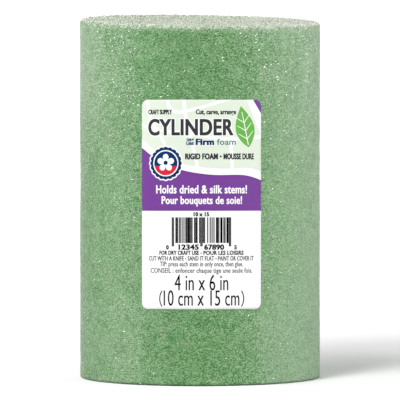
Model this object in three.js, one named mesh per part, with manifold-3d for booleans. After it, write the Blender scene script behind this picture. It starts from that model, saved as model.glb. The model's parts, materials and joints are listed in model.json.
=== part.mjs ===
// A floral foam cylinder: one upright piece of rigid green styrene foam with a self-adhesive label
// on its front. Millimetres, +Z up. The origin is the centre of the base, and the label faces -Y.

import * as THREE from 'three';
import { mergeVertices } from 'three/addons/utils/BufferGeometryUtils.js';
import Module from 'manifold-3d';

// Foam cylinder
const FOAM_DIAMETER = 101.0;
const HIGHEST_POINT = 151.4;
const TOP_RIM_RADIUS = 2.0;
const BASE_RIM_RADIUS = 0.6;
// The top is cut slightly out of square: it falls towards the right (+X) and towards the front (-Y).
const TOP_FALL_TO_RIGHT_DEG = 0.9;
const TOP_FALL_TO_FRONT_DEG = 0.6;

// Label, measured flat before it is wrapped round the foam
const LABEL_WIDTH = 51.7;
const LABEL_HEIGHT = 87.2;
const LABEL_CORNER_RADIUS = 2.8;
const LABEL_BOTTOM = 32.0;
const LABEL_TURN_DEG = 0.8;
const ADHESIVE_THICKNESS = 0.06;
const PAPER_THICKNESS = 0.12;
// Clearance that keeps each layer of the label just off the one behind it
const LAYER_GAP = 0.03;
// The adhesive stops a little inside the outline of the paper.
const ADHESIVE_INSET = 0.3;

// Fineness of the round shapes. Foam and label share the same facets, so they stay parallel.
const FACETS_ROUND = 144;
const FACETS_PER_RIM = 5;
const FACETS_PER_CORNER = 8;

const FOAM_RADIUS = FOAM_DIAMETER / 2;
const TOP_SLOPE_X = -Math.tan(THREE.MathUtils.degToRad(TOP_FALL_TO_RIGHT_DEG));
const TOP_SLOPE_Y = Math.tan(THREE.MathUtils.degToRad(TOP_FALL_TO_FRONT_DEG));
// The highest point lies on the inner edge of the rounded top rim, on the uphill side.
const HEIGHT_ON_AXIS = HIGHEST_POINT - (FOAM_RADIUS - TOP_RIM_RADIUS) * Math.hypot(TOP_SLOPE_X, TOP_SLOPE_Y);

const wasm = await Module();
wasm.setup();

function solidFrom(geometry) {
  const bare = geometry.clone();
  bare.deleteAttribute('normal');
  bare.deleteAttribute('uv');
  const merged = mergeVertices(bare);
  return new wasm.Manifold(
    new wasm.Mesh({
      numProp: 3,
      vertProperties: new Float32Array(merged.attributes.position.array),
      triVerts: new Uint32Array(merged.index.array),
    }),
  );
}

function geometryFrom(solid) {
  const result = solid.getMesh();
  const geometry = new THREE.BufferGeometry();
  geometry.setAttribute('position', new THREE.BufferAttribute(result.vertProperties, 3));
  geometry.setIndex(new THREE.BufferAttribute(result.triVerts, 1));
  return geometry;
}

// A profile turned round the Z axis, with the first facet edge at the front (-Y).
function turned(profile) {
  return new THREE.LatheGeometry(profile, FACETS_ROUND).rotateX(Math.PI / 2);
}

// Points of a quarter circle about (x, y), from one angle to another, in degrees.
function quarterArc(x, y, radius, fromDeg, toDeg, facets) {
  const points = [];
  for (let i = 0; i <= facets; i += 1) {
    const angle = THREE.MathUtils.degToRad(THREE.MathUtils.lerp(fromDeg, toDeg, i / facets));
    points.push(new THREE.Vector2(x + radius * Math.cos(angle), y + radius * Math.sin(angle)));
  }
  return points;
}

function foamCylinder() {
  const baseRimCentre = FOAM_RADIUS - BASE_RIM_RADIUS;
  const topRimCentre = FOAM_RADIUS - TOP_RIM_RADIUS;
  const profile = [
    new THREE.Vector2(0, 0),
    ...quarterArc(baseRimCentre, BASE_RIM_RADIUS, BASE_RIM_RADIUS, -90, 0, FACETS_PER_RIM),
    ...quarterArc(topRimCentre, HEIGHT_ON_AXIS - TOP_RIM_RADIUS, TOP_RIM_RADIUS, 0, 90, FACETS_PER_RIM),
    new THREE.Vector2(0, HEIGHT_ON_AXIS),
  ];
  const geometry = turned(profile);
  tiltTop(geometry);
  return geometry;
}

// Raises or lowers the points of the upper half by the slope of the cut, which keeps the side upright.
function tiltTop(geometry) {
  const position = geometry.attributes.position;
  for (let i = 0; i < position.count; i += 1) {
    if (position.getZ(i) > HEIGHT_ON_AXIS / 2) {
      const rise = TOP_SLOPE_X * position.getX(i) + TOP_SLOPE_Y * position.getY(i);
      position.setZ(i, position.getZ(i) + rise);
    }
  }
  geometry.computeVertexNormals();
}

// Outline of the label with rounded corners, as it looks from the front once it is wrapped at the
// given radius. The inset pulls the whole outline inwards.
function labelOutline(radius, inset) {
  const halfWidth = LABEL_WIDTH / 2 - inset;
  const halfHeight = LABEL_HEIGHT / 2 - inset;
  const corner = LABEL_CORNER_RADIUS - inset;
  const acrossCorner = halfWidth - corner;
  const upCorner = halfHeight - corner;
  const flat = [
    ...quarterArc(acrossCorner, -upCorner, corner, -90, 0, FACETS_PER_CORNER),
    ...quarterArc(acrossCorner, upCorner, corner, 0, 90, FACETS_PER_CORNER),
    ...quarterArc(-acrossCorner, upCorner, corner, 90, 180, FACETS_PER_CORNER),
    ...quarterArc(-acrossCorner, -upCorner, corner, 180, 270, FACETS_PER_CORNER),
  ];
  return new THREE.Shape(flat.map((p) => new THREE.Vector2(radius * Math.sin(p.x / radius), p.y)));
}

// One layer of the label: a thin tube round the foam, cut to the outline by a prism from the front.
function labelLayer(innerRadius, thickness, inset) {
  const outerRadius = innerRadius + thickness;
  const tube = turned([
    new THREE.Vector2(innerRadius, LABEL_BOTTOM - 1),
    new THREE.Vector2(outerRadius, LABEL_BOTTOM - 1),
    new THREE.Vector2(outerRadius, LABEL_BOTTOM + LABEL_HEIGHT + 1),
    new THREE.Vector2(innerRadius, LABEL_BOTTOM + LABEL_HEIGHT + 1),
    new THREE.Vector2(innerRadius, LABEL_BOTTOM - 1),
  ]);
  const prism = new THREE.ExtrudeGeometry(labelOutline(outerRadius, inset), {
    depth: FOAM_DIAMETER,
    bevelEnabled: false,
  });
  prism.rotateX(Math.PI / 2);
  prism.translate(0, 0, LABEL_BOTTOM + LABEL_HEIGHT / 2);
  prism.rotateZ(THREE.MathUtils.degToRad(LABEL_TURN_DEG));
  return geometryFrom(solidFrom(tube).intersect(solidFrom(prism)));
}

function named(name, geometry, look) {
  const mesh = new THREE.Mesh(geometry, new THREE.MeshStandardMaterial({ metalness: 0, ...look }));
  mesh.name = name;
  return mesh;
}

const adhesiveRadius = FOAM_RADIUS + LAYER_GAP;
const paperRadius = adhesiveRadius + ADHESIVE_THICKNESS + LAYER_GAP;

const group = new THREE.Group();
group.add(named('foam_cylinder', foamCylinder(), { color: 0x8fb48a, roughness: 0.9 }));
group.add(
  named('label_adhesive', labelLayer(adhesiveRadius, ADHESIVE_THICKNESS, ADHESIVE_INSET), {
    color: 0xe9e6d8,
    roughness: 0.35,
  }),
);
group.add(named('label_paper', labelLayer(paperRadius, PAPER_THICKNESS, 0), { color: 0xf6f7f4, roughness: 0.5 }));

export default group;
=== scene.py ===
"""The looks of a floral foam cylinder with a printed label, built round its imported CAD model.

Metres and +Z up, in the CAD model's frame: the base stands on z = 0 and the label faces -Y.
The label's artwork is laid out flat, in millimetres from its lower left corner, and then wrapped.
"""

import json
import math
import random

import bpy
import numpy as np
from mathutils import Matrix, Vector, geometry, noise


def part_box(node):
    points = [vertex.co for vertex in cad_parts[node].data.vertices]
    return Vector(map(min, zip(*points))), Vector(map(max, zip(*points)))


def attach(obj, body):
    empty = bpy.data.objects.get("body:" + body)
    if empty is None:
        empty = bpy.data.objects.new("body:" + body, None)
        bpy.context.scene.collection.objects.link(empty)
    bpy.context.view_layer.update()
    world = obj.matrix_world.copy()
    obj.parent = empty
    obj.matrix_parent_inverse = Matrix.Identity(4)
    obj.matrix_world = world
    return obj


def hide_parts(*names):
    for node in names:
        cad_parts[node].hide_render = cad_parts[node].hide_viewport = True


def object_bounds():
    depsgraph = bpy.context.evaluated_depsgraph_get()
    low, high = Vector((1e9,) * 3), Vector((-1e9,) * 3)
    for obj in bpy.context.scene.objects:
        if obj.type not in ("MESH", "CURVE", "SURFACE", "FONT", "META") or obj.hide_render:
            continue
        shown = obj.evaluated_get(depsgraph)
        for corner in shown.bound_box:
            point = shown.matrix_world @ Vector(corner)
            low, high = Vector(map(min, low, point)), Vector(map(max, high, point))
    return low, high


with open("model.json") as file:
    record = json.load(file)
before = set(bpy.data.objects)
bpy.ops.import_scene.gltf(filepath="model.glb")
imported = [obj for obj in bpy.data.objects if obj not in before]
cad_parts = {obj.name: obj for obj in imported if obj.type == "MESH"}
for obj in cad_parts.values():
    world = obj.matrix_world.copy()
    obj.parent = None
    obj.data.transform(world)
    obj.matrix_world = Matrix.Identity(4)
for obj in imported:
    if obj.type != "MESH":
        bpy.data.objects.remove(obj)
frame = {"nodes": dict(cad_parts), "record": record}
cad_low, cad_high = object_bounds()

MM = 0.001

# Camera: a long lens from a little above the object
CAMERA_DISTANCE = 3.3
CAMERA_HEIGHT = 0.265
CAMERA_PITCH_DEG = 3.3
CAMERA_LENS_MM = 705.5

# Light and floor
WORLD_STRENGTH = 0.2
BACKDROP_STRENGTH = 1.2
FLOOR_HALF_WIDTH = 20.0
FLOOR_WHITE = (0.85, 0.85, 0.85, 1)
# The floor's glow grows from nothing to full between these distances from the object.
FLOOR_PLAIN_TO = 0.9
FLOOR_FULL_GLOW_FROM = 1.9
FLOOR_GLOW = 0.5

# Foam body: mesh
AROUND = 368
# The caps' grids are square, so a quarter of the ring lies on each of their sides.
CAP_GRID = AROUND // 4
SIDE_ROWS = 168
RIM_ROWS = 5
BASE_RIM_RADIUS = 0.6 * MM
TOP_RIM_RADIUS = 2.0 * MM
TOP_RIM_VARIATION = 0.4 * MM
TOP_CRUMBS = 6400
TOP_CRUMB_SIZES = (0.18, 0.48)
RIM_CRUMBS = 900
RIM_CRUMB_SIZES = (0.15, 0.35)
WAVE_HEIGHT, WAVE_LENGTH = 0.12, 24 * MM
LUMP_HEIGHT, LUMP_LENGTH = 0.09, 5 * MM
GRAIN_HEIGHT, GRAIN_LENGTH = 0.13, 1.1 * MM
PIT_DEPTH = 0.45 * MM
PIT_SPACING = 6.5 * MM
# A pit's radius as a share of the spacing, and the share of places that have no pit
PIT_RADIUS = 0.2
PITLESS = 0.35
# The relief is pressed back behind the label and on the underside, so that neither is pushed off.
BEHIND_LABEL_LIMIT = -0.02 * MM
UNDERSIDE_LIMIT = -0.01 * MM

# Foam body: material, with lengths in millimetres
CELL_SIZE = 0.5
FINE_CELL_SIZE = 0.33
FOAM_DEEP = (0.004, 0.092, 0.003, 1)
FOAM_LIGHT = (0.112, 0.286, 0.084, 1)
# Frost colour: the glassy cells' own whiteness, and painted sheen
FOAM_FROST_AND_SHEEN = (0.560, 0.620, 0.510, 1)
FOAM_BEIGE = (0.135, 0.200, 0.100, 1)
FOAM_PALE = (0.590, 0.665, 0.547, 1)
FOAM_PINK = (0.860, 0.797, 0.735, 1)
FOAM_GLINT = (0.950, 0.970, 0.920, 1)
FOAM_PAINTED_SHADE = (0.006, 0.030, 0.006, 1)
# Cell contrast, with more and less of it where light is painted as falling strong or flat
CELL_CONTRAST = 1.34
FLAT_LIT_CONTRAST = -0.5
UPPER_LEFT_LIT_CONTRAST = 0.36
EDGE_CONTRAST = 0.8
FROST_AND_SHEEN = 0.2
GLINT_CHANCE = 0.0012
# Painted glints gather towards the top on one side: this direction leans there.
GLINT_LEAN = (0.86, 0.0, 0.5)

# Label: depths in metres, and flat measures in millimetres
PAPER_THICKNESS = 0.12 * MM
LABEL_BOW = 0.35 * MM
# How far the label's middle is raised, as a share of the bow
BOW_RAISE = 0.4
LABEL_CORNER = 2.8
LABEL_POINT_SPACING = 1.2
CORNER_CURL = 0.14
CURL_REACH = 6.5
PAPER_WAVES = 0.02
PAPER_GRIT = 0.008
# Points of the print that lie closer than this become one.
MERGE_WITHIN = 1e-5


# ---------------------------------------------------------------- camera, light and floor


def add_camera():
    data = bpy.data.cameras.new("camera")
    data.lens = CAMERA_LENS_MM
    data.clip_start = 0.5
    data.clip_end = 60
    camera = bpy.data.objects.new("camera", data)
    camera.location = (0, -CAMERA_DISTANCE, CAMERA_HEIGHT)
    camera.rotation_euler = (math.radians(90 - CAMERA_PITCH_DEG), 0, 0)
    bpy.context.collection.objects.link(camera)
    bpy.context.scene.camera = camera


def add_sun(name, direction, spread_deg, strength):
    """A far light that shines along the direction."""
    data = bpy.data.lights.new(name, "SUN")
    data.energy = strength
    data.angle = math.radians(spread_deg)
    sun = bpy.data.objects.new(name, data)
    sun.rotation_euler = Vector(direction).to_track_quat("-Z", "Y").to_euler()
    bpy.context.collection.objects.link(sun)


def add_softbox(name, place, size, strength, highlights_only=False):
    """A rectangular light that faces the middle of the object."""
    data = bpy.data.lights.new(name, "AREA")
    data.shape = "RECTANGLE"
    data.size, data.size_y = size
    data.energy = strength
    light = bpy.data.objects.new(name, data)
    light.location = place
    aim = Vector((0, 0, cad_high.z / 2)) - Vector(place)
    light.rotation_euler = aim.to_track_quat("-Z", "Y").to_euler()
    light.visible_camera = False
    light.visible_diffuse = not highlights_only
    bpy.context.collection.objects.link(light)


def set_world():
    """Soft white light from all round, and a white backdrop that only the camera sees."""
    world = bpy.data.worlds.new("studio")
    world.use_nodes = True
    nodes, links = world.node_tree.nodes, world.node_tree.links
    ambient = nodes["Background"]
    ambient.inputs["Color"].default_value = (1, 1, 1, 1)
    ambient.inputs["Strength"].default_value = WORLD_STRENGTH
    backdrop = nodes.new("ShaderNodeBackground")
    backdrop.inputs["Color"].default_value = (1, 1, 1, 1)
    backdrop.inputs["Strength"].default_value = BACKDROP_STRENGTH
    rays = nodes.new("ShaderNodeLightPath")
    mix = nodes.new("ShaderNodeMixShader")
    links.new(rays.outputs["Is Camera Ray"], mix.inputs["Fac"])
    links.new(ambient.outputs["Background"], mix.inputs[1])
    links.new(backdrop.outputs["Background"], mix.inputs[2])
    links.new(mix.outputs["Shader"], nodes["World Output"].inputs["Surface"])
    bpy.context.scene.world = world


def add_floor():
    """A plain white floor that brightens into the backdrop from a metre or so away."""
    half = FLOOR_HALF_WIDTH
    mesh = bpy.data.meshes.new("floor")
    corners = [(-half, -half, 0), (half, -half, 0), (half, half, 0), (-half, half, 0)]
    mesh.from_pydata(corners, [], [(0, 1, 2, 3)])
    floor = bpy.data.objects.new("floor", mesh)
    n = Nodes("floor_paint")
    away = n.vector("LENGTH", n.node("ShaderNodeTexCoord").outputs["Object"])
    glow = n.remap(away, FLOOR_PLAIN_TO, FLOOR_FULL_GLOW_FROM, 0.0, FLOOR_GLOW)
    n.shade(Base_Color=FLOOR_WHITE, Roughness=0.9, Specular_IOR_Level=0.1)
    n.shade(Emission_Color=(1, 1, 1, 1), Emission_Strength=glow)
    mesh.materials.append(n.material)
    bpy.context.collection.objects.link(floor)


# ---------------------------------------------------------------- materials


class Nodes:
    """A material's node tree, with short calls to add and join its nodes."""

    def __init__(self, name):
        self.material = bpy.data.materials.new(name)
        self.material.use_nodes = True
        self.tree = self.material.node_tree
        self.shader = self.tree.nodes["Principled BSDF"]

    def node(self, kind, values=None, **settings):
        made = self.tree.nodes.new(kind)
        for key, value in settings.items():
            setattr(made, key, value)
        for key, value in (values or {}).items():
            self.put(made.inputs[key], value)
        return made

    def put(self, socket, value):
        """Links a node's output to the socket, or sets the socket's own value."""
        if isinstance(value, bpy.types.NodeSocket):
            self.tree.links.new(value, socket)
        else:
            socket.default_value = value

    def shade(self, **values):
        """Sets or links the shader's inputs, named with underscores for their spaces."""
        for key, value in values.items():
            self.put(self.shader.inputs[key.replace("_", " ")], value)

    def math(self, operation, a, b=0.0, clamp=False):
        made = self.node("ShaderNodeMath", operation=operation, use_clamp=clamp)
        self.put(made.inputs[0], a)
        self.put(made.inputs[1], b)
        return made.outputs["Value"]

    def vector(self, operation, a, b=None, scale=None):
        made = self.node("ShaderNodeVectorMath", operation=operation)
        self.put(made.inputs[0], a)
        if b is not None:
            self.put(made.inputs[1], b)
        if scale is not None:
            self.put(made.inputs["Scale"], scale)
        return made.outputs["Value" if operation in ("DOT_PRODUCT", "LENGTH") else "Vector"]

    def remap(self, value, low, high, to_low, to_high):
        made = self.node("ShaderNodeMapRange")
        for socket, number in zip(made.inputs[:5], (value, low, high, to_low, to_high)):
            self.put(socket, number)
        return made.outputs["Result"]

    def ramp(self, value, start, full):
        """From 0 at the start to 1 at the full value, which may lie either way."""
        return self.remap(value, start, full, 0.0, 1.0)

    def product(self, first, *others):
        for other in others:
            first = self.math("MULTIPLY", first, other)
        return first

    def mix(self, factor, a, b):
        """A colour from a to b. The mix node's colour sockets are numbers 6 and 7, and 2 going out."""
        made = self.node("ShaderNodeMix", data_type="RGBA")
        self.put(made.inputs["Factor"], factor)
        self.put(made.inputs[6], a)
        self.put(made.inputs[7], b)
        return made.outputs[2]

    def place_mm(self):
        """The point on the object, in millimetres."""
        return self.vector("SCALE", self.node("ShaderNodeTexCoord").outputs["Object"], scale=1 / MM)

    def noise(self, place, size_mm, detail=2.0, roughness=0.5):
        values = {"Vector": place, "Scale": 1 / size_mm, "Detail": detail, "Roughness": roughness}
        return self.node("ShaderNodeTexNoise", values)

    def noise_about(self, place, size_mm, reach, detail=3.0):
        """Noise from minus the reach to plus the reach."""
        return self.remap(self.noise(place, size_mm, detail=detail).outputs["Fac"], 0.3, 0.7, -reach, reach)

    def random_numbers(self, cells):
        """Three random numbers for each cell, in the outputs Red, Green and Blue."""
        return self.node("ShaderNodeSeparateColor", {"Color": cells.outputs["Color"]}).outputs

    def bump(self, height, strength, distance, **values):
        values = {"Height": height, "Strength": strength, "Distance": distance, **values}
        return self.node("ShaderNodeBump", values).outputs["Normal"]

    def cells(self, place, size_mm, feature="F1"):
        return self.node("ShaderNodeTexVoronoi", {"Vector": place, "Scale": 1 / size_mm}, feature=feature)


def foam_material():
    """Green styrene foam: small glassy cell facets that lie every way, in cloudy green, pale where cut, with
    painted sheen, glints, shade and top light.
    """
    n = Nodes("green_styrene_foam")
    place = n.place_mm()
    where = n.node("ShaderNodeSeparateXYZ", {"Vector": place}).outputs
    warp = n.vector("SCALE", n.noise(place, 0.6).outputs["Color"], scale=0.2)
    squat = n.vector("MULTIPLY", n.vector("ADD", place, warp), (1, 1, 1.8))
    cells = n.cells(squat, CELL_SIZE)
    fine = n.cells(squat, FINE_CELL_SIZE)
    clouds = n.noise(place, 7.0, detail=3.0, roughness=0.6).outputs["Fac"]
    patches = n.noise(place, 2.2, detail=2.0).outputs["Fac"]
    pick = n.random_numbers(cells)
    pick_fine = n.random_numbers(fine)

    # The zones below have wavy borders, since the x they are measured in is pushed about by noise.
    x = n.math("ADD", where["X"], n.noise_about(place, 10.0, 5.0))
    z = where["Z"]
    outward = n.math("ABSOLUTE", x)
    # Zones of painted light: flat light low on the right, strong light on the upper left
    flat_lit_zone = n.product(n.ramp(x, 12.0, 34.0), n.ramp(z, 125.0, 80.0))
    upper_left_lit_zone = n.product(n.ramp(x, -12.0, -36.0), n.ramp(z, 75.0, 115.0))
    edge = n.ramp(n.math("ABSOLUTE", where["X"]), 38.0, 47.0)

    # Greens from cell to cell, with cloudy beige
    shade = n.math("MULTIPLY", pick["Red"], 0.6)
    shade = n.math("ADD", shade, n.math("MULTIPLY", pick_fine["Green"], 0.46))
    shade = n.math("ADD", shade, n.remap(clouds, 0.3, 0.7, -0.08, 0.06))
    shade = n.math("ADD", shade, n.remap(patches, 0.3, 0.7, -0.08, 0.06))
    # Painted light in the cells' contrast: lower where the light is painted flat, higher where it is painted
    # strong, and higher near the outer sides
    contrast = n.math("ADD", n.product(flat_lit_zone, FLAT_LIT_CONTRAST), n.product(upper_left_lit_zone, UPPER_LEFT_LIT_CONTRAST))
    contrast = n.math("ADD", contrast, n.product(edge, EDGE_CONTRAST))
    contrast = n.math("ADD", contrast, CELL_CONTRAST)
    shade = n.math("ADD", n.math("MULTIPLY", n.math("SUBTRACT", shade, 0.5), contrast), 0.5, clamp=True)
    green = n.mix(shade, FOAM_DEEP, FOAM_LIGHT)
    beige = n.remap(n.noise(place, 5.0, detail=1.0).outputs["Fac"], 0.56, 0.74, 0.0, 0.3)
    green = n.mix(beige, green, FOAM_BEIGE)

    # Frosted light cells, partly the glassy cells' own whiteness and partly painted sheen, and zones of
    # painted sheen and painted shade: more veil painted on the sides, low on both sides, high on the left
    # edge and on the right edge, and less of it in a patch near the top left of the middle and low on the
    # left edge
    frost_and_painted_sheen = n.product(shade, shade, FROST_AND_SHEEN)
    painted_sheen_low_sides = (n.ramp(outward, 20.0, 27.0), n.ramp(outward, 52.0, 34.0), n.ramp(z, 60.0, 30.0))
    painted_shade_patch = (n.ramp(x, -33.0, -24.0), n.ramp(x, -8.0, -20.0), n.ramp(z, 90.0, 115.0))
    for amount, zone in (
        (0.035, (n.ramp(outward, 22.0, 32.0),)),
        (0.05, painted_sheen_low_sides),
        (-0.06, painted_shade_patch),
        (0.10, (n.ramp(x, -38.0, -44.0), n.ramp(z, 100.0, 120.0))),
        (-0.07, (n.ramp(x, -40.0, -48.0), n.ramp(z, 115.0, 60.0))),
        (0.05, (n.ramp(x, 46.0, 50.0),)),
    ):
        frost_and_painted_sheen = n.math("ADD", frost_and_painted_sheen, n.product(*zone, amount))
    green = n.mix(frost_and_painted_sheen, green, FOAM_FROST_AND_SHEEN)

    # The cut top face and its rim are paler, with a ragged border, and flecked with pink: partly the cut's
    # own pale crumbs, partly painted top light and grazing sheen
    below_top = n.vector("DOT_PRODUCT", n.vector("SUBTRACT", place, TOP_POINT / MM), tuple(TOP_NORMAL))
    ragged = n.math("ADD", below_top, n.noise_about(place, 1.3, 0.45))
    fleck = n.mix(n.remap(pick_fine["Red"], 0.6, 0.62, 0.0, 1.0), FOAM_PALE, FOAM_PINK)
    # Some cells stay green among the pale ones, more of them towards the right
    stays_green = n.math("SUBTRACT", pick["Green"], n.remap(x, 5.0, 40.0, 0.0, 0.1))
    pale = n.mix(n.remap(stays_green, 0.62, 0.66, 0.0, 0.9), fleck, green)
    # The mask of the top face and its rim, where the pale colour stands for the cut and for painted top light
    cut = n.math("MAXIMUM", n.remap(ragged, -1.9, 0.1, 0.0, 0.96), n.remap(ragged, -3.4, -1.2, 0.0, 0.2))
    green = n.mix(cut, green, pale)

    # Painted glints: white facets in loose clusters near the top on one side
    leaning = n.vector("DOT_PRODUCT", place, GLINT_LEAN)
    loose = n.remap(n.noise(place, 14.0).outputs["Fac"], 0.4, 0.62, 0.0, 1.0)
    chance = n.product(loose, n.remap(leaning, 77.0, 105.0, 0.0, 0.028))
    chance = n.math("ADD", chance, n.product(upper_left_lit_zone, 0.006))
    chance = n.math("ADD", chance, GLINT_CHANCE)
    glint = n.math("GREATER_THAN", n.math("ADD", pick["Blue"], chance), 1.0)
    colour = n.mix(n.math("MULTIPLY", glint, 0.85), green, FOAM_GLINT)

    # Painted shade: dark open cells, most of them on the cut top, and a painted contact shadow along the base
    # rim
    more_pit_shade = n.math("ADD", n.product(cut, 0.035), n.product(upper_left_lit_zone, 0.02))
    pit_shade = n.remap(n.math("SUBTRACT", pick_fine["Blue"], more_pit_shade), 0.045, 0.055, 0.85, 0.0)
    pit_shade = n.math("MAXIMUM", pit_shade, n.remap(pick["Blue"], 0.018, 0.024, 0.7, 0.0))
    colour = n.mix(pit_shade, colour, FOAM_PAINTED_SHADE)
    # Painted contact shadow: the foam is darkened within a millimetre of the floor
    colour = n.mix(n.remap(z, 0.35, 1.0, 0.8, 0.0), colour, FOAM_PAINTED_SHADE)

    # Each facet's own tilt, then fine relief on top of it
    centred = n.vector("SUBTRACT", cells.outputs["Color"], (0.5, 0.5, 0.5))
    centred_fine = n.vector("SUBTRACT", fine.outputs["Color"], (0.5, 0.5, 0.5))
    tilt = n.vector("ADD", n.vector("SCALE", centred, scale=0.5), n.vector("SCALE", centred_fine, scale=0.5))
    normal = n.node("ShaderNodeNewGeometry").outputs["Normal"]
    facets = n.vector("NORMALIZE", n.vector("ADD", normal, tilt))
    edges = n.cells(squat, 0.8, feature="DISTANCE_TO_EDGE").outputs["Distance"]
    height = n.math("ADD", n.math("MINIMUM", edges, 0.25), n.noise(place, 0.35).outputs["Fac"])

    n.shade(Base_Color=colour, Normal=n.bump(height, 0.35, 0.15 * MM, Normal=facets))
    n.shade(Roughness=n.remap(pick_fine["Red"], 0.0, 0.35, 0.32, 0.58))
    n.shade(Sheen_Weight=0.32, Sheen_Roughness=0.3, Sheen_Tint=(1.0, 1.0, 0.98, 1))
    n.shade(Specular_IOR_Level=0.35, IOR=1.5)
    return n.material


def ink_material(name, colour):
    """Ink on coated paper: a flat colour, with the paper's fibres and uneven gloss."""
    n = Nodes(name)
    place = n.place_mm()
    fibres = n.noise(place, 0.25, detail=3.0, roughness=0.6).outputs["Fac"]
    ripples = n.noise(place, 2.5, detail=2.0).outputs["Fac"]
    height = n.math("ADD", n.math("MULTIPLY", fibres, 0.25), ripples)
    gloss = n.noise(place, 1.1).outputs["Fac"]
    n.shade(Base_Color=(*colour, 1), Normal=n.bump(height, 0.12, 0.2 * MM))
    n.shade(Roughness=n.remap(gloss, 0.3, 0.7, 0.45, 0.58), Specular_IOR_Level=0.03)
    return n.material


def adhesive_material():
    """Clear tacky adhesive with the foam's crumbs pulled into it."""
    n = Nodes("label_glue")
    place = n.place_mm()
    crumbs = n.random_numbers(n.cells(place, 0.9))["Red"]
    colour = n.mix(n.remap(crumbs, 0.75, 0.85, 0.0, 0.7), (0.78, 0.76, 0.66, 1), (0.34, 0.50, 0.31, 1))
    normal = n.bump(n.noise(place, 0.8).outputs["Fac"], 0.5, 0.1 * MM)
    n.shade(Base_Color=colour, Roughness=n.remap(crumbs, 0.6, 0.9, 0.22, 0.6), Normal=normal)
    return n.material


# ---------------------------------------------------------------- foam body


foam_low, foam_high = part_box("foam_cylinder")
label_low, label_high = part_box("label_paper")
FOAM_RADIUS = (foam_high.x - foam_low.x) / 2
mounts = {mount["name"]: mount for mount in frame["record"]["mounts"]}
TOP_POINT = Vector(mounts["top_face"]["pos_m"])
TOP_NORMAL = Vector(mounts["top_face"]["axis"]).normalized()


def top_height(x, y):
    """The height of the tilted top face above a point of the base."""
    return TOP_POINT.z - (TOP_NORMAL.x * x + TOP_NORMAL.y * y) / TOP_NORMAL.z


def behind_label(point):
    """True on the part of the side that the label covers, with a little to spare."""
    spare = 1.0 * MM
    across = label_low.x - spare < point.x < label_high.x + spare
    upward = label_low.z - spare < point.z < label_high.z + spare
    return across and upward and point.y < 0


def pit_depth(point):
    """Open cells here and there, a millimetre or two across."""
    distances, centres = noise.voronoi(point / PIT_SPACING)
    if noise.cell(centres[0] * 7.3) < PITLESS:
        return 0.0
    inward = 1 - distances[0] / PIT_RADIUS
    return PIT_DEPTH * inward * inward * (3 - 2 * inward) if inward > 0 else 0.0


def foam_relief(point):
    """How far the foam stands proud of its true shape: slow waves, lumps, grains and pits."""
    wave = WAVE_HEIGHT * noise.noise(point / WAVE_LENGTH)
    lumps = LUMP_HEIGHT * noise.noise(point / LUMP_LENGTH + Vector((7, 3, 1)))
    grains = GRAIN_HEIGHT * noise.noise(point / GRAIN_LENGTH + Vector((2, 9, 4)))
    return (wave + lumps + grains) * MM - pit_depth(point)


def moved(point, normal, limit=None):
    """The point with the foam's relief, which may be kept from rising above a limit."""
    offset = foam_relief(point)
    if limit is not None:
        offset = min(offset, limit)
    return point + normal * offset


def top_rim_radius(angle):
    """The top rim is worn rounder on the left than on the right."""
    slow = noise.noise(Vector((math.cos(angle), math.sin(angle), 0)) * 1.7)
    return TOP_RIM_RADIUS - TOP_RIM_VARIATION * (math.cos(angle) + slow)


def side_column(angle):
    """Points and normals up the side at one angle, from the base rim's inner edge to the top rim's."""
    out = Vector((math.cos(angle), math.sin(angle), 0))
    up = Vector((0, 0, 1))
    column = []
    for row in range(RIM_ROWS):
        turn = math.radians(-90 + 90 * row / RIM_ROWS)
        reach = FOAM_RADIUS - BASE_RIM_RADIUS * (1 - math.cos(turn))
        place = out * reach + up * (BASE_RIM_RADIUS * (1 + math.sin(turn)))
        column.append((place, out * math.cos(turn) + up * math.sin(turn)))
    rim = top_rim_radius(angle)
    edge = out * FOAM_RADIUS
    highest = top_height(edge.x, edge.y) - rim
    for row in range(SIDE_ROWS + 1):
        height = BASE_RIM_RADIUS + (highest - BASE_RIM_RADIUS) * row / SIDE_ROWS
        column.append((edge + up * height, out.copy()))
    for row in range(1, RIM_ROWS + 1):
        turn = math.radians(90 * row / RIM_ROWS)
        place = out * (FOAM_RADIUS - rim * (1 - math.cos(turn)))
        place.z = top_height(place.x, place.y) - rim * (1 - math.sin(turn))
        column.append((place, out * math.cos(turn) + up * math.sin(turn)))
    return column


def disc_place(a, b):
    """Maps a point of the square from -1 to 1 to the unit disc, as a signed reach and an angle."""
    if a == 0 and b == 0:
        return 0.0, 0.0
    if abs(a) >= abs(b):
        return a, math.pi / 4 * b / a
    return b, math.pi / 2 - math.pi / 4 * a / b


def add_cap(points, faces, ring, height_at, normal):
    """Fills a ring with an even grid of four-sided faces whose edge points are the ring's."""
    last = CAP_GRID
    upward = normal.z > 0
    index = {}
    for step in range(AROUND):
        side, along = divmod(step, last)
        a, b = [(last, along), (last - along, last), (0, last - along), (along, 0)][side]
        index[a, b] = ring[step]
    for a in range(last + 1):
        for b in range(last + 1):
            if (a, b) in index:
                continue
            reach, angle = disc_place(2 * a / last - 1, 2 * b / last - 1)
            heading = angle if reach > 0 else angle + math.pi
            edge = FOAM_RADIUS - (top_rim_radius(heading) if upward else BASE_RIM_RADIUS)
            x, y = edge * reach * math.cos(angle), edge * reach * math.sin(angle)
            index[a, b] = len(points)
            points.append(moved(Vector((x, y, height_at(x, y))), normal, None if upward else UNDERSIDE_LIMIT))
    for a in range(last):
        for b in range(last):
            face = [index[a, b], index[a + 1, b], index[a + 1, b + 1], index[a, b + 1]]
            faces.append(face if upward else face[::-1])


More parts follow.
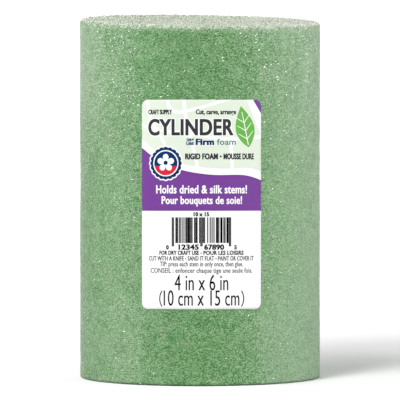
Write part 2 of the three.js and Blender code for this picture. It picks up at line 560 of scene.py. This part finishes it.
def add_crumb(points, faces, draw, centre, size):
    """A loose four-sided grain of foam."""
    first = len(points)
    for x, y, z in ((1, 1, 1), (1, -1, -1), (-1, 1, -1), (-1, -1, 1)):
        shake = Vector((draw.uniform(0.3, 1), draw.uniform(0.3, 1), draw.uniform(0.3, 1)))
        points.append(centre + Vector((x, y, z)) * shake * size)
    faces += [[first + i for i in corners] for corners in ((0, 1, 2), (0, 3, 1), (0, 2, 3), (1, 3, 2))]


def add_crumbs(points, faces):
    """Grains left on the cut top face and along its rim."""
    draw = random.Random(11)
    for _ in range(TOP_CRUMBS):
        reach = (FOAM_RADIUS - TOP_RIM_RADIUS) * math.sqrt(draw.random())
        angle = draw.uniform(0, 2 * math.pi)
        x, y = reach * math.cos(angle), reach * math.sin(angle)
        centre = Vector((x, y, top_height(x, y)))
        add_crumb(points, faces, draw, centre, draw.uniform(*TOP_CRUMB_SIZES) * MM)
    for _ in range(RIM_CRUMBS):
        angle = draw.uniform(0, 2 * math.pi)
        turn = math.radians(draw.uniform(10, 80))
        rim = top_rim_radius(angle)
        reach = FOAM_RADIUS - rim * (1 - math.cos(turn))
        x, y = reach * math.cos(angle), reach * math.sin(angle)
        centre = Vector((x, y, top_height(x, y) - rim * (1 - math.sin(turn))))
        add_crumb(points, faces, draw, centre, draw.uniform(*RIM_CRUMB_SIZES) * MM)


def foam_piece():
    """The foam body as one closed skin, with its loose grains."""
    points, faces, columns = [], [], []
    for step in range(AROUND):
        # The first column meets the first corner of the caps' grids.
        angle = -math.pi / 4 + 2 * math.pi * step / AROUND
        column = []
        for place, normal in side_column(angle):
            limit = None
            if behind_label(place):
                limit = BEHIND_LABEL_LIMIT
            if normal.z < -0.5:
                limit = UNDERSIDE_LIMIT
            column.append(len(points))
            points.append(moved(place, normal, limit))
        columns.append(column)
    for step in range(AROUND):
        here, there = columns[step], columns[(step + 1) % AROUND]
        for row in range(len(here) - 1):
            faces.append([here[row], there[row], there[row + 1], here[row + 1]])
    add_cap(points, faces, [c[0] for c in columns], lambda x, y: 0.0, Vector((0, 0, -1)))
    add_cap(points, faces, [c[-1] for c in columns], top_height, Vector((0, 0, 1)))
    add_crumbs(points, faces)
    mesh = bpy.data.meshes.new("foam_body")
    mesh.from_pydata(points, [], faces)
    mesh.polygons.foreach_set("use_smooth", [True] * len(faces))
    mesh.materials.append(foam_material())
    piece = bpy.data.objects.new("foam_body", mesh)
    bpy.context.collection.objects.link(piece)
    return piece


# ---------------------------------------------------------------- label artwork


LABEL_RADIUS = -label_low.y
LABEL_LEFT = math.asin(label_low.x / LABEL_RADIUS)
LABEL_RIGHT = math.asin(label_high.x / LABEL_RADIUS)
LABEL_WIDTH = LABEL_RADIUS * (LABEL_RIGHT - LABEL_LEFT) / MM
LABEL_HEIGHT = (label_high.z - label_low.z) / MM

INKS = {
    "paper_white": (0.727, 0.727, 0.723),
    "field_green": (0.565, 0.624, 0.531),
    "purple": (0.142, 0.043, 0.235),
    "purple_edge": (0.086, 0.026, 0.145),
    "dark_grey": (0.031, 0.031, 0.034),
    "leaf_green": (0.116, 0.342, 0.058),
    "navy": (0.003, 0.028, 0.098),
    "red": (0.531, 0.018, 0.039),
    "black": (0.004, 0.004, 0.004),
    "slate": (0.052, 0.129, 0.197),
}


def arc(u, v, radius, start, end, steps):
    turns = [math.radians(start + (end - start) * i / steps) for i in range(steps + 1)]
    return [(u + radius * math.cos(t), v + radius * math.sin(t)) for t in turns]


def disc(u, v, radius, steps=40):
    return arc(u, v, radius, 0, 360, steps)[:-1]


def bar(left, low, right, high):
    return [(left, low), (right, low), (right, high), (left, high)]


def label_outline():
    c, w, h = LABEL_CORNER, LABEL_WIDTH, LABEL_HEIGHT
    corners = [(w - c, c, -90), (w - c, h - c, 0), (c, h - c, 90), (c, c, 180)]
    return [p for u, v, start in corners for p in arc(u, v, c, start, start + 90, 10)]


def bend(points, steps=16):
    """A smooth line through the points (Catmull-Rom)."""
    padded = [points[0], *points, points[-1]]
    line = []
    for p0, p1, p2, p3 in zip(padded, padded[1:], padded[2:], padded[3:]):
        for i in range(steps):
            t = i / steps
            weights = (
                (-t + 2 * t * t - t**3) / 2,
                (2 - 5 * t * t + 3 * t**3) / 2,
                (t + 4 * t * t - 3 * t**3) / 2,
                (-t * t + t**3) / 2,
            )
            line.append(tuple(sum(w * p[k] for w, p in zip(weights, (p0, p1, p2, p3))) for k in (0, 1)))
    return [*line, points[-1]]


def stripe(points, width, end_width=None, steps=16):
    """A bent line with a width, which may change evenly from its start to its end."""
    line = bend(points, steps)
    end_width = width if end_width is None else end_width
    left, right = [], []
    for i, (u, v) in enumerate(line):
        before, after = line[max(i - 1, 0)], line[min(i + 1, len(line) - 1)]
        along = Vector((after[0] - before[0], after[1] - before[1])).normalized()
        half = (width + (end_width - width) * i / (len(line) - 1)) / 2
        left.append((u - along.y * half, v + along.x * half))
        right.append((u + along.y * half, v - along.x * half))
    return left + right[::-1]


def border_loops(faces):
    """Closed runs of point numbers along the edges that only one face has."""
    sides = {(a, b) for face in faces for a, b in zip(face, face[1:] + face[:1])}
    following = {a: b for a, b in sorted(sides) if (b, a) not in sides}
    loops = []
    while following:
        here = min(following)
        loop = []
        while here in following:
            loop.append(here)
            here = following.pop(here)
        loops.append(loop)
    return loops


def letter_loops(text, weight, gap, detail):
    """Closed outlines of plain built-in letters one unit in size, each edge moved out by the weight."""
    curve = bpy.data.curves.new("letters", "FONT")
    curve.body = text
    curve.resolution_u = detail
    curve.offset = weight
    curve.space_character = 1 + gap
    holder = bpy.data.objects.new("letters", curve)
    bpy.context.collection.objects.link(holder)
    bpy.context.view_layer.update()
    depsgraph = bpy.context.evaluated_depsgraph_get()
    mesh = bpy.data.meshes.new_from_object(holder.evaluated_get(depsgraph))
    places = [(v.co.x, v.co.y) for v in mesh.vertices]
    corners = [tuple(face.vertices) for face in mesh.polygons if face.normal.z > 0]
    bpy.data.objects.remove(holder)
    bpy.data.curves.remove(curve)
    bpy.data.meshes.remove(mesh)
    return [[places[i] for i in loop] for loop in border_loops(corners) if len(loop) > 2]


def words(text, left, right, base, cap_height, weight=0.0, smear=0.0, halo=0.0, detail=3):
    """Letters fitted between left and right on a base line, with capitals of the given height.

    The weight thickens every stroke, as a share of the letters' size. The smear and the halo do too, in
    millimetres: the smear sideways only, and the halo every way.
    """
    capital = max(v for loop in letter_loops("H", 0.0, 0.0, 1) for _, v in loop)
    plain = letter_loops(text, weight, 1.6 * max(weight, 0.0) + 0.3 * smear, detail)
    low = min(u for loop in plain for u, _ in loop)
    high = max(u for loop in plain for u, _ in loop)
    across, up = (right - left - 2 * smear) / (high - low), cap_height / capital
    shifts = [(-smear, 0.0), (smear, 0.0)] if smear else [(0.0, 0.0)]
    if halo:
        shifts = [(u + a, v + b) for u, v in shifts for a in (-halo, halo) for b in (-halo, halo)]
    left += smear - low * across
    return [
        [(left + du + u * across, base + dv + v * up) for u, v in loop] for loop in plain for du, dv in shifts
    ]


# For each digit, the widths of its two bars and two spaces
BAR_CODES = ("3211", "2221", "2122", "1411", "1132", "1231", "1114", "1312", "1213", "3112")
SAMPLE_DIGITS = "012345678905"
BAR_INK_SPREAD = 0.42


def bar_code(left, right, low, high, guard_low):
    """The upright bars of the common sample number that counts from nought.

    Bars and spaces take turns. The guard bars, at both ends and in the middle, run lower than the rest.
    """
    halves = (SAMPLE_DIGITS[:6], SAMPLE_DIGITS[6:])
    first, second = ("".join(BAR_CODES[int(d)] for d in half) for half in halves)
    runs = (("111", True), (first, False), ("11111", True), (second, False), ("111", True))
    widths = [(int(width), guard) for run, guard in runs for width in run]
    module = (right - left) / sum(width for width, _ in widths)
    spread = BAR_INK_SPREAD * module
    bars, u = [], left
    for i, (width, guard) in enumerate(widths):
        step = width * module
        if i % 2 == 0:
            bars.append(bar(u - spread, guard_low if guard else low, u + step + spread, high))
        u += step
    return bars


def petals(u, v, count, near, far, radius):
    """The outline of a ring of petals, which lies between the near and the far share of the radius."""
    outline = []
    steps_per_petal = 14
    steps = count * steps_per_petal
    for i in range(steps):
        turn = 2 * math.pi * i / steps
        reach = near + (far - near) * abs(math.cos(count * turn / 2)) ** 0.6
        outline.append((u + reach * radius * math.sin(turn), v + reach * radius * math.cos(turn)))
    return outline


def leaf(tip, foot, bulge):
    """Both edges of a plain pointed leaf, its midrib, and short straight side veins."""
    tip, foot = Vector(tip), Vector(foot)
    axis = tip - foot
    side = Vector((-axis.y, axis.x)) / axis.length
    blade = []
    last = 24
    for sign, order in ((1, range(last + 1)), (-1, range(last, 0, -1))):
        for i in order:
            t = i / last
            blade.append(tuple(foot + axis * t + side * sign * bulge * math.sin(math.pi * t**0.85)))
    lines = [stripe([tuple(foot + axis * 0.06), tuple(foot + axis * 0.86)], 0.42, 0.25, steps=4)]
    for t in (0.2, 0.4, 0.6):
        for sign in (1, -1):
            start = foot + axis * t
            end = start + axis * 0.16 + side * sign * bulge * 0.76
            lines.append(stripe([tuple(start), tuple(end)], 0.36, 0.2, steps=2))
    return blade, lines


def artwork():
    """What is printed, in painting order: (ink, closed outlines).

    A clockwise outline inside another is a hole. Heights are given down from the label's top edge.
    """
    w, h = LABEL_WIDTH, LABEL_HEIGHT
    art = []

    def paint(ink, *outlines):
        art.append((ink, list(outlines)))

    # Pale field with white veins
    sweep = bend(
        [(-1, h - 15.6), (9, h - 23.0), (20, h - 27.2), (34, h - 28.6), (46, h - 28.4), (w + 1, h - 30.4)]
    )
    paint("field_green", [*sweep, (w + 1, h + 1), (-1, h + 1)])
    veins = [
        ([(2.2, h + 1), (4.2, h - 8), (9.0, h - 16), (13.0, h - 27)], 1.5, 1.1),
        (
            [(11.5, h + 1), (12.2, h - 3.0), (15.5, h - 5.2), (20.0, h - 4.6), (29, h - 2.2), (40, h + 1)],
            1.6,
            1.1,
        ),
        ([(18.2, h + 1), (19.6, h - 9), (22.3, h - 20), (24.6, h - 30)], 1.5, 1.3),
        ([(-1, h - 10.0), (7, h - 12.6), (20, h - 13.8), (35, h - 16.2), (w + 1, h - 15.4)], 1.1, 1.5),
        ([(38.0, h - 14), (38.4, h - 22), (38.9, h - 31)], 1.5, 1.4),
    ]
    for line, start, end in veins:
        paint("paper_white", stripe(line, start, end))

    # Purple corner, top right, and the purple band
    paint("paper_white", [(w - 7.2, h + 1), (w - 4.5, h + 1), (w + 1, h - 7.3), (w + 1, h - 17.5)])
    paint("purple", [(w - 4.5, h + 1), (w + 1, h + 1), (w + 1, h - 7.3)])
    band_top = bend(
        [(-1, h - 19.2), (8, h - 25.4), (18, h - 29.3), (30, h - 31.2), (44, h - 31.4), (w + 1, h - 33.8)]
    )
    paint("purple_edge", [*band_top, (w + 1, h - 46.2), (-1, h - 46.2)])
    lower_top = [(u, v - 0.3) for u, v in band_top]
    paint("purple", [*lower_top, (w + 1, h - 46.0), (-1, h - 46.0)])

    # Heading, leaf and plain descriptions
    title = ("CYLINDER", 3.0, 39.2, h - 14.6, 6.35)
    paint("paper_white", *words(*title, weight=0.018, smear=0.1, halo=0.4, detail=5))
    paint("dark_grey", *words(*title, weight=0.018, smear=0.1, halo=0.07, detail=5))
    blade, ribs = leaf(tip=(42.4, h - 2.6), foot=(46.0, h - 19.8), bulge=4.2)
    paint("leaf_green", blade)
    for rib in ribs:
        paint("paper_white", rib)
    small_bold = {"weight": 0.012, "smear": 0.05, "halo": 0.05}
    paint("dark_grey", *words("CRAFT SUPPLY", 3.0, 13.4, h - 6.0, 1.8, **small_bold))
    paint("dark_grey", *words("Cut, carve, arrange", 23.4, 40.3, h - 6.0, 1.9, **small_bold))
    small = ("Firm", 23.4, 31.0, h - 18.7, 2.4)
    paint("paper_white", *words(*small, weight=0.02, smear=0.1, halo=0.25))
    paint("navy", *words(*small, weight=0.02, smear=0.1, halo=0.08))
    paint("navy", *words("DRY", 19.7, 22.6, h - 17.2, 1.0, halo=0.13))
    paint("navy", *words("USE", 19.5, 22.6, h - 18.7, 1.0, halo=0.13))
    paint("slate", *words("foam", 32.2, 40.2, h - 18.7, 2.4, weight=0.004, halo=0.03))
    paint("dark_grey", *words("RIGID FOAM", 19.0, 32.6, h - 24.7, 2.25, weight=0.018, smear=0.07, halo=0.06))
    paint("dark_grey", disc(33.8, h - 23.6, 0.42, 12))
    paint("dark_grey", *words("MOUSSE DURE", 35.0, 48.3, h - 24.7, 2.25, weight=0.018, smear=0.04, halo=0.06))

    # Round seal
    u, v, radius = 10.7, h - 26.4, 6.6
    inner = radius * 0.76
    paint("paper_white", petals(u, v, 20, 0.99, 1.05, radius + 0.45))
    paint("navy", petals(u, v, 20, 0.96, 1.04, radius))
    paint("paper_white", disc(u, v, radius * 0.83), disc(u, v, inner)[::-1])
    low_half = [(u - inner, v - 1.1), *arc(u, v, inner, 190, 350, 24), (u + inner, v - 1.1)]
    paint("red", low_half)
    paint("paper_white", petals(u, v + 0.2, 5, 0.42, 1.0, 3.7))
    paint("navy", disc(u, v + 0.2, 0.9, 20))

    # Two lines on the purple band
    bold = {"weight": 0.018, "smear": 0.06}
    paint("paper_white", *words("Holds dried & silk stems!", 6.5, 45.2, h - 38.9, 3.3, **bold))
    paint("paper_white", *words("Pour bouquets de soie!", 8.9, 43.0, h - 43.3, 3.1, **bold))

    # Bar code and small print
    paint("black", *words("10 x 15", 22.5, 28.9, h - 48.4, 1.55, weight=0.02, smear=0.04, halo=0.06))
    paint("black", *bar_code(13.4, 38.1, h - 59.6, h - 48.9, h - 61.0))
    for digits, left, right, down, height in (
        ("12345", 16.2, 24.6, 62.3, 2.0),
        ("67890", 26.9, 35.2, 62.3, 2.0),
        ("0", 10.9, 12.0, 62.2, 1.6),
        ("5", 39.6, 40.7, 62.2, 1.6),
    ):
        paint("black", *words(digits, left, right, h - down, height, weight=0.022, smear=0.05, halo=0.05))
    lines = [
        ("FOR DRY CRAFT USE", 8.0, 24.7, 64.5, 1.65, 0.05),
        ("POUR LES LOISIRS", 26.6, 43.6, 64.5, 1.65, 0.05),
        ("CUT WITH A KNIFE", 3.2, 18.4, 66.9, 1.8, 0.03),
        ("SAND IT FLAT", 20.0, 31.0, 66.9, 1.8, 0.03),
        ("PAINT OR COVER IT", 32.6, 48.2, 66.9, 1.8, 0.03),
        ("TIP: press each stem in only once, then glue.", 8.2, 43.4, 69.3, 1.95, 0.02),
        ("CONSEIL : enfoncer chaque tige une seule fois.", 4.0, 47.6, 72.0, 1.95, 0.02),
    ]
    for u, down in ((25.6, 63.8), (19.2, 66.1), (31.8, 66.1)):
        paint("dark_grey", disc(u, h - down, 0.28, 12))
    for text, left, right, down, height, halo in lines:
        ink = "black" if down < 66 else "dark_grey"
        paint(ink, *words(text, left, right, h - down, height, 0.2 * halo, smear=0.02, halo=halo, detail=2))

    # Size, with its brackets as bent lines
    thin = {"weight": -0.006, "smear": 0.06, "halo": 0.03, "detail": 4}
    paint("black", *words("4 in x 6 in", 14.5, 37.0, h - 79.3, 6.5, **thin))
    paint("black", *words("10 cm x 15 cm", 9.8, 41.8, h - 85.7, 6.4, **thin))
    bow = ((0, 79.5), (0.75, 81.0), (1, 82.8), (0.75, 84.6), (0, 86.1))
    for end, side in ((9.1, -1), (42.7, 1)):
        paint("black", stripe([(end + out * side, h - down) for out, down in bow], 0.5, steps=4))
    return art


def divided(outline):
    """The outline with points added along its long sides."""
    points = []
    for (u0, v0), (u1, v1) in zip(outline, outline[1:] + outline[:1]):
        steps = max(1, math.ceil(math.hypot(u1 - u0, v1 - v0) / LABEL_POINT_SPACING))
        points += [(u0 + (u1 - u0) * i / steps, v0 + (v1 - v0) * i / steps) for i in range(steps)]
    return points


def turns_round(points, outline):
    """For each of many points, how many times a closed outline goes round it, leftwards counted positive."""
    corners = np.array(outline)
    within = ((points > corners.min(axis=0)) & (points < corners.max(axis=0))).all(axis=1)
    near = np.flatnonzero(within)
    x, y = points[near, 0], points[near, 1]
    count = np.zeros(len(near), int)
    for (u0, v0), (u1, v1) in zip(outline, outline[1:] + outline[:1]):
        if v0 == v1:
            continue
        crosses = (v0 > y) != (v1 > y)
        before = x < (u1 - u0) * (y - v0) / (v1 - v0) + u0
        count[crosses & before] += 1 if v1 > v0 else -1
    turns = np.zeros(len(points), int)
    turns[near] = count
    return turns


def flat_sheet(border, outlines=()):
    """Triangles that fill the border, with edges along it and along the outlines, and their centres."""
    points, edges = [], []
    for outline in (border, *outlines):
        first = len(points)
        points += outline
        edges += [(first + i, first + (i + 1) % len(outline)) for i in range(len(outline))]
    step = LABEL_POINT_SPACING
    grid = [
        ((i + 0.5 * (j % 2)) * step, j * step)
        for j in range(1, int(LABEL_HEIGHT / step) + 1)
        for i in range(1, int(LABEL_WIDTH / step) + 1)
    ]
    kept = turns_round(np.array(grid), border)
    points += [p for p, turns in zip(grid, kept) if turns]
    corners = [Vector(p) for p in points]
    places, _, triangles, *_ = geometry.delaunay_2d_cdt(corners, edges, [], 0, MERGE_WITHIN)
    places = np.array([(p.x, p.y) for p in places])
    triangles = np.array(triangles)
    centres = places[triangles].mean(axis=1)
    wanted = turns_round(centres, border) != 0
    return places, triangles[wanted], centres[wanted]


def flat_label(art):
    """Triangles of the flat label whose edges follow the print, and each triangle's ink."""
    outlines = [divided(outline) for _, shapes in art for outline in shapes]
    places, triangles, centres = flat_sheet(divided(label_outline()), outlines)
    order = list(INKS)
    ink = np.zeros(len(triangles), int)
    for name, shapes in art:
        turns = sum(turns_round(centres, outline) for outline in shapes)
        ink[turns != 0] = order.index(name)
    return places, triangles, ink


def paper_lift(u, v):
    """How far the paper stands off: corners that have let go a little, faint waves, and crumbs behind."""
    corner = min(math.hypot(u - cu, v - cv) for cu in (0, LABEL_WIDTH) for cv in (0, LABEL_HEIGHT))
    curl = CORNER_CURL * max(0.0, 1 - corner / CURL_REACH) ** 2
    waves = PAPER_WAVES * (1 + noise.noise(Vector((u / 9, v / 13, 0.3))))
    grit = PAPER_GRIT * (1 + noise.noise(Vector((u / 1.6, v / 1.6, 5.1))))
    return (curl + waves + grit) * MM


def wrapped(u, v, depth):
    """A point of the flat label on the foam, at a depth below the paper's face.

    The label is stuck on slightly bowed: its left and right edges droop below its middle.
    """
    radius = LABEL_RADIUS + paper_lift(u, v) - depth
    angle = LABEL_LEFT + u * MM / LABEL_RADIUS
    droop = LABEL_BOW * ((2 * u / LABEL_WIDTH - 1) ** 2 - BOW_RAISE)
    return radius * math.sin(angle), -radius * math.cos(angle), label_low.z + v * MM - droop


def label_piece():
    """The printed paper: its front divided along the print, a plain back, and the thin edge between."""
    places, triangles, ink = flat_label(artwork())
    used = sorted(set(triangles.ravel()))
    number = {old: new for new, old in enumerate(used)}
    front = [[number[i] for i in triangle] for triangle in triangles]
    count = len(used)
    points = [wrapped(*places[i], 0.0) for i in used]

    # The back is filled more coarsely from the same border points, which come first among its own.
    (border,) = border_loops(front)
    places_behind, triangles_behind, _ = flat_sheet([tuple(places[used[i]]) for i in border])
    points += [wrapped(*place, PAPER_THICKNESS) for place in places_behind]
    back = [[int(i) + count for i in reversed(triangle)] for triangle in triangles_behind]
    ends = range(len(border))
    rim = [[(i - 1) % len(border) + count, i + count, border[i], border[i - 1]] for i in ends]
    mesh = bpy.data.meshes.new("printed_label")
    mesh.from_pydata(points, [], front + back + rim)
    for name, colour in INKS.items():
        mesh.materials.append(ink_material(name, colour))
    # The back and the edge show the first ink, the bare paper.
    slots = list(ink) + [0] * (len(back) + len(rim))
    mesh.polygons.foreach_set("material_index", slots)
    smooth = [True] * (len(front) + len(back)) + [False] * len(rim)
    mesh.polygons.foreach_set("use_smooth", smooth)
    mesh.update()
    piece = bpy.data.objects.new("printed_label", mesh)
    bpy.context.collection.objects.link(piece)
    return piece


# ---------------------------------------------------------------- assembly


add_camera()
set_world()
add_floor()
add_sun("key_light", (0.36, 0.47, -0.82), 20, 0.94)
add_sun("front_light", (0.5, 1.0, -0.8), 20, 2.0)
add_softbox("back_softbox", (0, 1.6, 0.9), (1.6, 0.8), 10.2)
add_softbox("right_softbox", (1.1, -0.35, 0.35), (0.8, 1.2), 11.5)
add_softbox("left_softbox", (-0.40, -0.10, 0.38), (0.25, 0.25), 0.9)
add_softbox("rear_right_gleam", (1.1, 0.25, 0.12), (0.8, 0.35), 14.5, highlights_only=True)
add_softbox("front_right_gleam", (0.84, -0.71, 0.12), (0.8, 0.5), 18.0, highlights_only=True)
add_softbox("rear_left_gleam", (-1.1, 0.25, 0.12), (0.8, 0.35), 2.5, highlights_only=True)
add_softbox("upper_left_gleam", (-1.1, -0.2, 0.55), (0.4, 0.25), 27.0, highlights_only=True)

foam = foam_piece()
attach(foam, "root")
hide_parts("foam_cylinder")

label = label_piece()
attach(label, "root")
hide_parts("label_paper")

glue = frame["nodes"]["label_adhesive"]
glue.data.materials.clear()
glue.data.materials.append(adhesive_material())

bpy.context.scene.view_settings.view_transform = "Standard"
